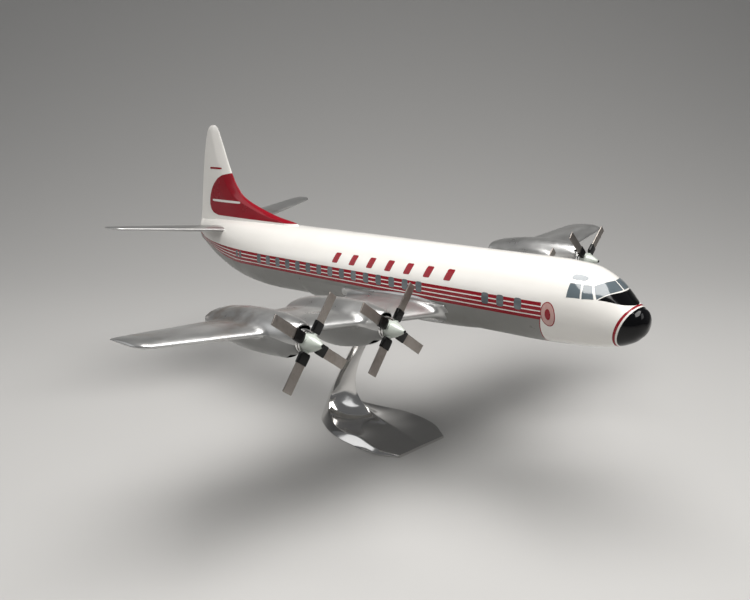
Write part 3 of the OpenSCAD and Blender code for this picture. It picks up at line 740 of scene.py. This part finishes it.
def melt(a, b, radius):
    """Union of two distance fields with a fillet between them."""
    near = np.clip(radius - np.abs(a - b), 0, None) / radius
    return np.minimum(a, b) - near**2 * radius / 4


def pocket_field(axes, engine):
    """Air slot over the spinner, chin intake and shaft bore of one engine; negative inside."""
    x, y, z = axes
    hy, hz = ENGINE_YZ[engine]
    d, y, z = PROP_X - x, y - hy, z - hz
    r = np.sqrt(y**2 + z**2)
    overlap = lambda *fields: np.maximum.reduce(np.broadcast_arrays(*fields))
    slot = overlap(np.abs(r - SLOT_R) - SLOT_T, np.abs(y) - SLOT_W, 5.5 - z, d - 16)
    chin = overlap(np.abs(y) - 5.2, np.abs(z + 12.7) - 1.2, d - 28, 14 - d)
    bore = np.maximum(r - 3.2, d - 26)
    return np.minimum(np.minimum(slot, chin), bore)


def wing_castings():
    grid = Field((-302, 14, -50), (-166, 302, 20))
    axes = grid.axes()
    panel = grid.distance(wing_loft())
    nacelles = np.minimum(*[grid.distance(nacelle_loft(engine)) for engine in (1, 2)])
    wing = melt(panel, nacelles, FILLET)
    ring_angles = np.linspace(0, 360, 120, endpoint=False)
    ring = lambda s, proud=0.0: on_fuselage(s + 0 * ring_angles, ring_angles, proud)
    hull = grid.distance(np.array([ring(s) for s in np.linspace(140, 330, 40)]))
    fairing = [ring(s, float(smooth(SADDLE, s, 1))) for s in np.linspace(155, 330, 40)]
    fairing = grid.distance(np.array(fairing))
    fuselage = np.minimum(hull, np.maximum(fairing, axes[2] - SADDLE_TOP_Z))
    # Shaved near the fuselage and let a little into it, so that the fillet ends in a clean edge
    shave = ROOT_SHAVE * np.clip(1 - fuselage / 2, 0, 1)
    cast = np.maximum.reduce([melt(wing, fuselage, ROOT_FILLET) + shave, wing - ROOT_REACH,
                              -ROOT_DEPTH - fuselage])
    cast = np.maximum(cast, np.broadcast_to(15.5 - axes[1], grid.shape))
    pockets = np.minimum(pocket_field(axes, 1), pocket_field(axes, 2))
    cast = np.maximum(cast, -pockets)
    points, quads = grid.mesh(cast)
    smoothed = cast.copy()
    for axis in range(3):
        smoothed = (np.roll(smoothed, 1, axis) + 2 * smoothed + np.roll(smoothed, -1, axis)) / 4
    paint_cast(grid, smoothed, pockets, nacelles - panel, points, quads)


def paint_cast(grid, field, pockets, beyond_panel, points, quads):
    """Splits the casting's faces along the edge of the painted reflection, the grey that stands for the
    darker floor mirrored in the nacelles' lower halves, names what is silver, grey or black (the black being
    painted shade inside the intakes and bore), and builds both wings, the starboard one as the mirror image."""
    work = bmesh.new()
    rough = bpy.data.meshes.new("casting")
    rough.from_pydata(points.tolist(), [], quads.tolist())
    work.from_mesh(rough)
    bpy.data.meshes.remove(rough)
    edge = lambda engine, x: ENGINE_YZ[engine][1] + smooth(FLOOR_REFLECTION_EDGE, PROP_X - x, 1)
    for engine in (1, 2):
        hy, _ = ENGINE_YZ[engine]
        near = [f for f in work.faces if abs(f.calc_center_median().y - hy) < 21]
        lines, dots = list({e for f in near for e in f.edges}), list({v for f in near for v in f.verts})
        # The edge is curved, so the faces are straightened to it, cut by a level plane and bent back
        for v in work.verts:
            v.co.z -= float(edge(engine, v.co.x))
        bmesh.ops.bisect_plane(work, geom=near + lines + dots, dist=1e-4, plane_co=(0, 0, 0),
                               plane_no=(0, 0, 1))
        for v in work.verts:
            v.co.z += float(edge(engine, v.co.x))
    work.verts.ensure_lookup_table()
    work.verts.index_update()
    points = np.array([v.co for v in work.verts])
    faces = [tuple(v.index for v in f.verts) for f in work.faces]
    centres = np.array([f.calc_center_median() for f in work.faces])
    work.free()
    normals = grid.normals(field, points)
    at = np.clip(np.round((centres - grid.low) / VOXEL).astype(int), 0, np.array(grid.shape) - 1)
    deep = pockets[tuple(at.T)] < 0.75
    looks = np.zeros(len(faces), int)
    for engine in (1, 2):
        hy, hz = ENGINE_YZ[engine]
        beside = (np.abs(centres[:, 1] - hy) < 21) & (beyond_panel[tuple(at.T)] < 0.6)
        # Faces below the edge take the grey that paints the darker floor's reflection into the nacelles
        looks[beside & (centres[:, 2] < edge(engine, centres[:, 0]))] = 1
        behind = PROP_X - centres[:, 0]
        # Faces just inside the air slot, chin intake and shaft bore are made black: painted shade in the
        # recesses
        looks[deep & (np.abs(centres[:, 1] - hy) < 10) & (behind > 8.3) & (behind < 30)] = 2
    for name, node_name, side in (("wing_casting_left", "left_wing", 1),
                                  ("wing_casting_right", "right_wing", -1)):
        flip = [1, side, 1]
        turned = [f if side > 0 else f[::-1] for f in faces]
        make(name, points * flip, turned, [SILVER, NACELLE_FLOOR_REFLECTION, BLACK], AIRFRAME, "silver_casting",
             (node_name,), looks, normals=normals * flip)


wing_castings()

# ---- tail ----

STAB_HALF, STAB_Z, STAB_RISE, STAB_ROUND = 136.4, 20.8, 0.135, 10


def stabilizer(side, name, node_name):
    rings = []
    for y in to_rounded_tip(np.linspace(6, 126, 50), STAB_HALF, STAB_ROUND):
        f, share = y / STAB_HALF, max(tip_share(y, STAB_HALF, STAB_ROUND), 0.06)
        le, te = -514 - 29 * f, -579 + 9 * f
        pivot, keep = (le + te) / 2 - 4, 0.4 + 0.6 * share
        rings.append(foil_ring(side * y, pivot + (le - pivot) * keep, pivot + (te - pivot) * keep,
                               STAB_Z + STAB_RISE * y, (7.2 - 3.4 * f) * share, 0, 64))
    rings = np.array(rings)
    points = rings.reshape(-1, 3)
    make(name, points, outward(points, tube_faces(*rings.shape[:2])), [SILVER], AIRFRAME, "silver_casting",
         (node_name,))


stabilizer(1, "tailplane_left", "left_stabilizer")
stabilizer(-1, "tailplane_right", "right_stabilizer")

FIN = [  # height, leading edge, trailing edge, half thickness
    [24, -392, -586.5, 8.5], [29, -396, -585.3, 6.6], [33, -400, -584.3, 5.4], [36.6, -407, -583.3, 4.7],
    [40.7, -432.5, -582.2, 4.3], [48, -463, -580.5, 4], [57, -490, -578.4, 3.8], [70, -506, -575.4, 3.5],
    [85.5, -515.5, -571.6, 3.2], [110, -525.5, -565, 2.6], [128, -532.6, -558.2, 2.1],
    [134, -535.5, -555, 1.8], [137, -538, -551.5, 1.2], [138.8, -541, -547, 0.5]]
FIN_NOSE = 16


def on_fin(x, z, side):
    """Point on a side of the fin at station x and height z."""
    le, te, half = (smooth(FIN, z, k) for k in (1, 2, 3))
    chord = le - te
    u = np.clip((le - x) / chord, 0, 1)
    nose = np.sqrt(np.minimum(u * chord / FIN_NOSE, 1))
    taper = 1 - 0.86 * np.clip((u - 0.4) / 0.6, 0, 1) ** 1.4
    return np.stack([x, side * half * nose * taper, z + 0 * x], -1)


def fin():
    rings = []
    heights = [np.linspace(24, 60, 46), np.linspace(62, 132, 50), np.linspace(133, 138.75, 16)]
    for z in np.concatenate(heights):
        le, te = smooth(FIN, z, 1), smooth(FIN, z, 2)
        u = (1 - np.cos(np.linspace(0, math.pi, 48))) / 2
        x = le + (te - le) * u
        rings.append(np.concatenate([on_fin(x, z + 0 * x, 1), on_fin(x, z + 0 * x, -1)[1:-1][::-1]]))
    rings = np.array(rings)
    points = rings.reshape(-1, 3)
    make("tail_fin", points, outward(points, tube_faces(*rings.shape[:2])), [WHITE], AIRFRAME,
         "white_gloss_shell", ("fin",))


fin()

# Rear edge of the crimson flash on the fin, by height
FLASH = [[36.2, -546], [38, -554], [41, -559], [46, -561.5], [54, -561], [61, -558], [68, -553.5], [75, -546],
         [80, -538], [83.5, -528], [85.6, -515.6]]


def fin_paint(x, z, side, up, wrap=False):
    skin = on_fin(x, z, side)
    push = np.zeros_like(skin)
    push[..., 1] = side * 1.0
    return slab(skin + push * up, skin - push * 0.2, wrap)


def flash():
    z = [np.linspace(36.2, 46, 22), np.linspace(47, 80, 34), np.linspace(80.6, 85.6, 14)]
    z = np.concatenate(z)[:, None]
    turn = np.linspace(-1, 1, 97)[None]
    le, back = smooth(FIN, z, 1), smooth(FLASH, z, 1)
    x = le + (back - le) * np.abs(turn) ** 2.2
    skin = np.where((turn < 0)[..., None], on_fin(x, z + 0 * x, -1), on_fin(x, z + 0 * x, 1))
    ahead = np.clip(1 - np.abs(turn) / 0.25, 0, 1)
    push = np.stack([ahead + 0 * z, np.sign(turn) * (1 - ahead) + 0 * z, 0 * x], -1)
    points, faces = slab(skin + push * 0.12, skin - push * 0.2)
    make("fin_flash", points, faces, [CRIMSON], AIRFRAME, "white_gloss_shell", sharp_deg=60)
    for name, look, at, size, up in (("fin_bar_white", WHITE, (-527, 53.4), (56, 2.6), 0.2),
                                     ("fin_bar_red", CRIMSON, (-543, 90.5), (24, 2.2), 0.12)):
        across, high = rounded_rectangle(*size, 6.0, rings=8, around=64)
        make(name, *joined([fin_paint(at[0] + across, at[1] + high, side, up, True) for side in (-1, 1)]),
             [look], AIRFRAME, "white_gloss_shell", sharp_deg=60)


flash()

# ---- propellers and the bright rings, in a frame at the hub with the shaft along +x ----

PROP_R, BLADE_CHORD, BLADE_T, BLADE_PITCH = 41.2, 8.6, 1.2, math.radians(7)
CUFF = (8.2, 17.4, 3.6, 9.4)
TURN = {1: 43.5, 2: 43.5, 3: 52, 4: 52}


def lathe(profile, count=72):
    """Points and faces of an (x, radius) profile turned about the x axis."""
    a = 2 * math.pi * np.arange(count) / count
    profile = np.asarray(profile, float)
    rings = np.stack([profile[:, :1] + 0 * a, profile[:, 1:] * np.cos(a), profile[:, 1:] * np.sin(a)], -1)
    points = rings.reshape(-1, 3)
    closed = np.allclose(profile[0], profile[-1])
    if closed:
        points = points[:-count]
        faces = tube_faces(len(profile), count, caps=False)
        faces = [tuple(int(i) % len(points) for i in f) for f in faces]
        return points, outward(points, faces)
    return points, outward(points, tube_faces(len(profile), count))


def washer(front, back, bore, radius, ease=0.35):
    """A ring with eased edges, from one distance in front of the hub plane to another behind it."""
    t = np.radians(np.linspace(0, 90, 5))
    outer_front = [(front - ease + ease * math.cos(a), radius - ease + ease * math.sin(a)) for a in t]
    outer_back = [(back + ease - ease * math.sin(a), radius - ease + ease * math.cos(a)) for a in t]
    return lathe([(front, bore), (front, (bore + radius) / 2), *outer_front, *outer_back,
                  (back, (bore + radius) / 2), (back, bore), (front, bore)])


def spun(points, degrees):
    a = math.radians(degrees)
    p = np.asarray(points, float)
    return np.stack([p[:, 0], p[:, 1] * math.cos(a) - p[:, 2] * math.sin(a),
                     p[:, 1] * math.sin(a) + p[:, 2] * math.cos(a)], -1)


def four(part):
    points, faces = part
    return joined([(spun(points, 90 * k), faces) for k in range(4)])


def pitched(points):
    c, s = math.cos(BLADE_PITCH), math.sin(BLADE_PITCH)
    return np.stack([points[:, 0] * c - points[:, 1] * s, points[:, 0] * s + points[:, 1] * c,
                     points[:, 2]], -1)


def section(half_t, half_c, power, count=40):
    """Closed outline, thickness along x and chord along y."""
    t = 2 * math.pi * np.arange(count) / count
    c, s = np.cos(t), np.sin(t)
    return np.stack([half_t * np.sign(c) * np.abs(c) ** (2 / power),
                     half_c * np.sign(s) * np.abs(s) ** (2 / power)], -1)


def along_blade(levels):
    """Loft along +z of (height, half thickness, half chord, squareness) levels."""
    rings = np.array([np.column_stack([section(t, c, p), np.full(40, z)]) for z, t, c, p in levels])
    points = rings.reshape(-1, 3)
    return pitched(points), outward(points, tube_faces(*rings.shape[:2]))


def blade():
    t, c = BLADE_T / 2, BLADE_CHORD / 2
    body = [(z, t, c, 9) for z in np.linspace(9, PROP_R - 0.5, 12)]
    tip = [(PROP_R - 0.25, t * 0.93, c - 0.08, 9), (PROP_R - 0.07, t * 0.72, c - 0.25, 8),
           (PROP_R, t * 0.4, c - 0.5, 8)]
    return along_blade(body + tip)


def cuff():
    low, high, thick, chord = CUFF
    t, c = thick / 2, chord / 2
    return along_blade([(low, t * 0.9, c * 0.8, 4), (low + 0.25, t * 0.97, c * 0.88, 4.5),
                        (low + 1.2, t, c * 0.98, 5.5), (low + 2.2, t, c, 6), (high - 0.4, t * 0.92, c, 6),
                        (high - 0.1, t * 0.88, c * 0.99, 6), (high, t * 0.82, c * 0.97, 6)])


def collar():
    a = 2 * math.pi * np.arange(36) / 36
    levels = [(4, 2.3), (7.3, 2.3), (7.75, 2.2), (7.95, 1.95), (8.0, 1.5)]
    rings = np.array([np.stack([r * np.cos(a), r * np.sin(a), z + 0 * a], -1) for z, r in levels])
    points = rings.reshape(-1, 3)
    return points, outward(points, tube_faces(*rings.shape[:2]))


SPINNER_R, SPINNER_TIP, SPINNER_BACK = 7.0, 14.6, -3.5


def spinner_profile():
    u = np.linspace(0, 1, 30)
    cone = np.stack([1 + (SPINNER_TIP - 2.4) * u, 1.3 + (SPINNER_R - 1.3) * (1 - u**1.3) ** 0.9], -1)
    knob = [(SPINNER_TIP - 1.25, 1.42), (SPINNER_TIP - 0.9, 1.52), (SPINNER_TIP - 0.5, 1.45),
            (SPINNER_TIP - 0.15, 1.15), (SPINNER_TIP, 0.6), (SPINNER_TIP, 0.02)]
    back = [(SPINNER_BACK, 1.6), (SPINNER_BACK, SPINNER_R - 0.3), (SPINNER_BACK + 0.12, SPINNER_R - 0.08),
            (SPINNER_BACK + 0.4, SPINNER_R), (-1, SPINNER_R)]
    return [*back, *cone.tolist(), *knob]


def engine(i):
    hub = np.array([PROP_X, *ENGINE_YZ[i]])
    body = f"propeller_{i}"

    def fitted(name, part, looks, ride, slot, node_name, turn=0.0, face_looks=None, sharp=35):
        points, faces = part
        make(name, spun(points, turn) + hub, faces, looks, ride, slot, (node_name,), face_looks, sharp)

    fitted(f"nacelle_ring_{i}", washer(-5.5, -7.5, 3.0, 8.9, 0.45), [RING], AIRFRAME, "bright_ring",
           f"cowl_ring_{i}")
    fitted(f"hub_plate_{i}", washer(-3.5, -5.0, 1.5, 8.2), [RING], body, "bright_ring", f"backplate_{i}",
           TURN[i])
    nose = lathe(spinner_profile())
    knob_x = SPINNER_TIP - 0.55
    whole = joined([nose, four(collar())])
    dark = [1 if min(whole[0][v][0] for v in f) > knob_x - 0.01 else 0 for f in whole[1]]
    fitted(f"spinner_cone_{i}", whole, [SPINNER, BLACK], body, "spinner_paint", f"spinner_{i}", TURN[i], dark)
    fitted(f"propeller_blades_{i}", four(blade()), [BLADE], body, "blade_metal", f"blades_{i}", TURN[i])
    fitted(f"root_cuffs_{i}", four(cuff()), [CUFF_BLACK], body, "black_cuff", f"blade_cuffs_{i}", TURN[i])


for engine_number in (1, 2, 3, 4):
    engine(engine_number)

# ---- stand, in the row frame: x forward, y to port, z up, mm from the middle of its underside ----

STAND = [  # row, ridge x and z, crease x, y and z, foot x, y and z, rear or underside x and z
    [0, 69, 3, 69, 31.6, 2.8, 69, 32, 0, 69, 0], [1, 62, 4.2, 61.5, 35.4, 3.9, 61, 36.8, 0, 62, 0],
    [2, 51, 6.2, 51, 40.2, 5.4, 50, 43, 0, 51, 0], [3, 36, 9.2, 38, 41.2, 7.4, 32, 45, 0, 34, 0],
    [4, 20, 11.6, 22, 39.2, 9.2, 14, 45.3, 0, 18, 0], [5, 4, 15, 5, 39.4, 8, 0, 44.6, 0, 2, 0],
    [6, -9, 20, -12, 36.6, 6.8, -18, 41, 0, -14, 0], [7, -18, 26, -28, 30.4, 7.4, -35, 34.6, 0, -30, 0],
    [8, -22.8, 33, -40, 23, 10, -52, 25, 0, -46, 0],
    [9, -24.5, 41, -48.5, 16.4, 16.5, -63, 12.5, 1.2, -62, 0],
    [10, -24, 50, -49.5, 11.6, 27, -64.5, 6, 10, -66, 9], [11, -21, 61, -44, 9, 43, -56, 5, 30, -58, 29],
    [12, -16, 73, -35.5, 8, 60, -43.5, 4.6, 52, -45, 51.5],
    [13, -9.2, 86, -24.5, 7.6, 78, -31, 4.4, 73, -32.3, 72.8],
    [14, -0.6, 101, -13.2, 7.4, 96.4, -18.6, 4.2, 93.6, -19.8, 93.4],
    [15, 8.4, 116, -3, 7.3, 114, -7.6, 4.1, 112.6, -8.8, 112.6],
    [16, 22, 138, 11.5, 7.3, 138, 7, 4.1, 138, 5.8, 138]]
HOLLOW = [[0, 0, 0.2], [3, 0, 1], [5, 1.6, 3.2], [7, 4.5, 5.5], [9, 6, 3.5], [11, 3.2, 0.6], [13, 0.8, -0.8],
          [16, -0.4, -1]]


def bowed(p, q, bow, count):
    u = (np.arange(count) / count)[:, None]
    return p + (q - p) * u + np.asarray(bow) * 4 * u * (1 - u)


def stand_ring(t):
    v = [float(smooth(STAND, t, c)) for c in range(1, 11)]
    ridge, crease = np.array([v[0], 0, v[1]]), np.array(v[2:5])
    foot, rear = np.array(v[5:8]), np.array([v[8], 0, v[9]])
    deep, high = float(smooth(HOLLOW, t, 1)), float(smooth(HOLLOW, t, 2))
    half = np.concatenate([bowed(ridge, crease, (-deep * 0.6, -deep * 0.5, -high), 26),
                           bowed(crease, foot, (0, 0.5, 0), 12), bowed(foot, rear, (0, 0, 0), 10), [rear]])
    ring = np.concatenate([half, (half * [1, -1, 1])[1:-1][::-1]])
    ring = (np.roll(ring, 1, 0) + 4 * ring + np.roll(ring, -1, 0)) / 6
    return ring


def stand():
    rings = np.array([stand_ring(t) for t in np.linspace(0, 16, 190)])
    rings[..., 2] = np.maximum(rings[..., 2], 0.02)
    points = rings.reshape(-1, 3)
    back = points - ORIGIN
    aircraft = np.stack([back[:, 0] * COS_P + back[:, 2] * SIN_P, back[:, 1],
                         -back[:, 0] * SIN_P + back[:, 2] * COS_P], -1)
    make("stand_casting", aircraft, outward(points, tube_faces(*rings.shape[:2])), [POLISH], AIRFRAME,
         "polished_stand", ("stand",), sharp_deg=30)


stand()

# ---- camera, floor and lights, in metres ----

CAMERA_AT = Vector((0.6031, -0.5864, 0.3835))
CAMERA_TURN = (math.radians(73.6), 0, math.radians(45.63))
camera_data = bpy.data.cameras.new("camera")
camera_data.sensor_fit, camera_data.sensor_width, camera_data.lens = "HORIZONTAL", 36, 42.69
camera_data.clip_start, camera_data.clip_end = 0.01, 50
camera = bpy.data.objects.new("camera", camera_data)
camera.location, camera.rotation_euler = CAMERA_AT, CAMERA_TURN
bpy.context.scene.collection.objects.link(camera)
bpy.context.scene.camera = camera


def backdrop():
    """A seamless paper sweep, flat under the model and curving up far behind it."""
    heading = np.array([-math.sin(CAMERA_TURN[2]), math.cos(CAMERA_TURN[2])])
    across = np.array([heading[1], -heading[0]])
    front, flat, radius, high, half_width = -2.2, 0.55, 1.9, 3.2, 4.2
    bend = np.linspace(0, math.pi / 2, 40)
    profile = [(front, 0.0), (flat, 0.0)]
    profile += [(flat + radius * math.sin(a), radius * (1 - math.cos(a))) for a in bend[1:]]
    profile.append((flat + radius, high))
    points = [(*(heading * d + across * side * half_width), z) for d, z in profile for side in (-1, 1)]
    faces = [(2 * k, 2 * k + 1, 2 * k + 3, 2 * k + 2) for k in range(len(profile) - 1)]
    mesh = bpy.data.meshes.new("backdrop")
    mesh.from_pydata(points, [], faces)
    mesh.shade_smooth()
    paper = Shader("backdrop_paper", (0.47, 0.465, 0.455), roughness=0.75, specular=0.2)
    paper.bump(paper.noise(900, 3), 0.05, 0.1)
    mesh.materials.append(paper.material)
    floor = bpy.data.objects.new("backdrop", mesh)
    bpy.context.scene.collection.objects.link(floor)


backdrop()


def softbox(name, at, aim, size, watts, color=(1, 1, 1)):
    data = bpy.data.lights.new(name, "AREA")
    data.shape, data.size, data.size_y = "RECTANGLE", size[0], size[1]
    data.energy, data.color = watts, color
    lamp = bpy.data.objects.new(name, data)
    lamp.location = at
    lamp.rotation_euler = (Vector(aim) - Vector(at)).to_track_quat("-Z", "Y").to_euler()
    bpy.context.scene.collection.objects.link(lamp)


softbox("overhead", (0.27, -0.12, 1.3), (0.15, -0.02, 0.1), (1.1, 1.1), 27, (1.0, 0.985, 0.965))
softbox("left_fill", (-1.5, -1.6, 1.0), (0, 0, 0.15), (1.4, 1.2), 5, (0.98, 0.99, 1.0))
softbox("right_rim", (1.6, 0.7, 1.0), (0, 0, 0.2), (0.5, 1.1), 3.0)
bpy.context.scene.view_settings.view_transform = "Standard"

world = bpy.data.worlds.new("studio")
world.use_nodes = True
world.node_tree.nodes["Background"].inputs["Color"].default_value = (0.62, 0.63, 0.65, 1)
world.node_tree.nodes["Background"].inputs["Strength"].default_value = 0.22
bpy.context.scene.world = world
